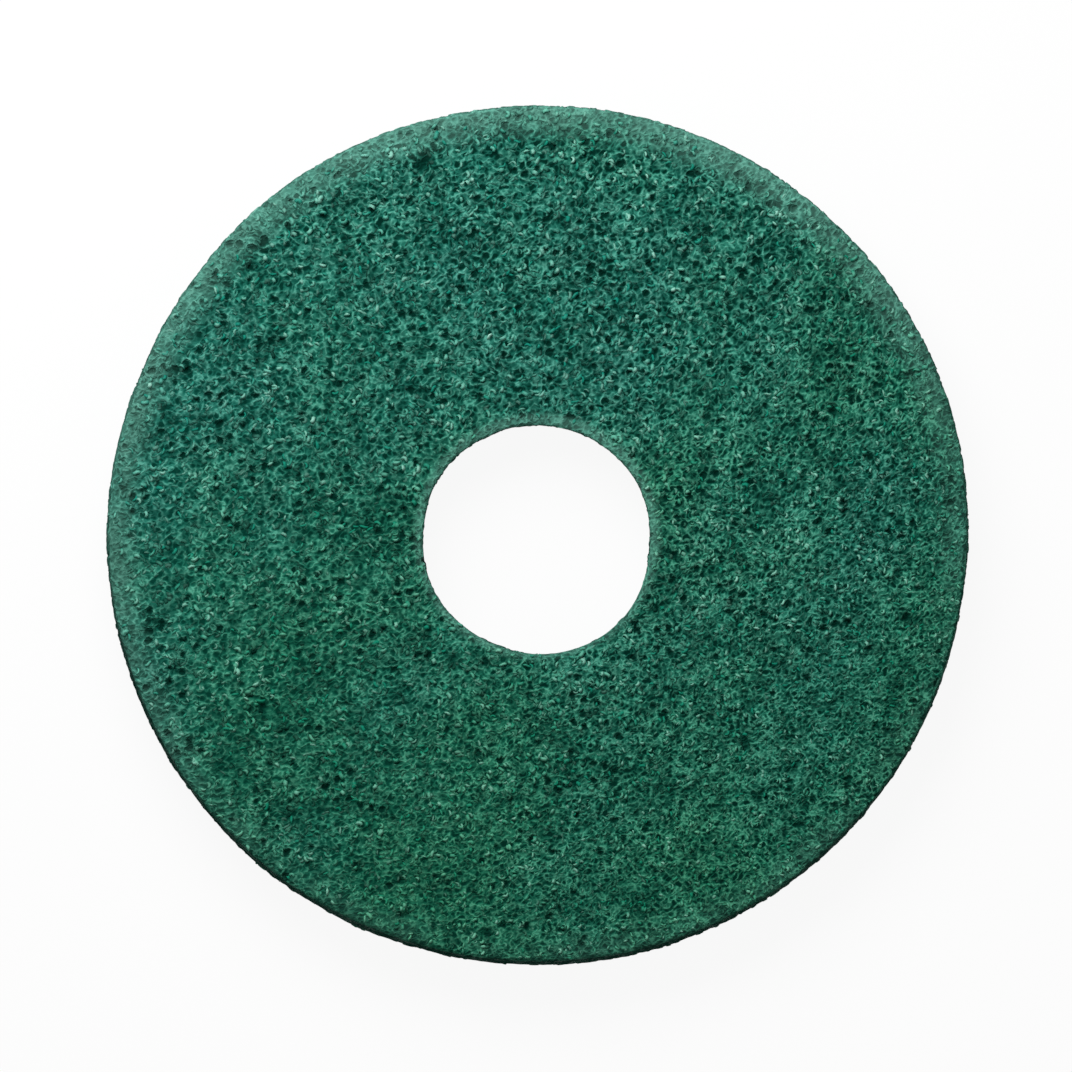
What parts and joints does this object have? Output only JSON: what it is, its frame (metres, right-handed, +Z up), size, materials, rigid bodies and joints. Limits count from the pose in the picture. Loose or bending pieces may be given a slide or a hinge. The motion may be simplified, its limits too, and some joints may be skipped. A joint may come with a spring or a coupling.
{
  "type": "floor scrubbing pad",
  "caption": "Thick flat ring of open, matted, resin-bonded fibre with a round hole through its middle, turned flat against a floor by a rotary scrubbing machine",
  "frame": {"origin": "on the lower face, at the middle of the pad's outline", "axes": "+Z is up through the hole, from the floor face to the driver face; +X and +Y lie in the lower face"},
  "size_m": [0.3053, 0.3044, 0.025],
  "materials": {
    "fibre": "matte"
  },
  "bodies": {
    "root": {"scrub_pad": "fibre"}
  },
  "joints": []
}
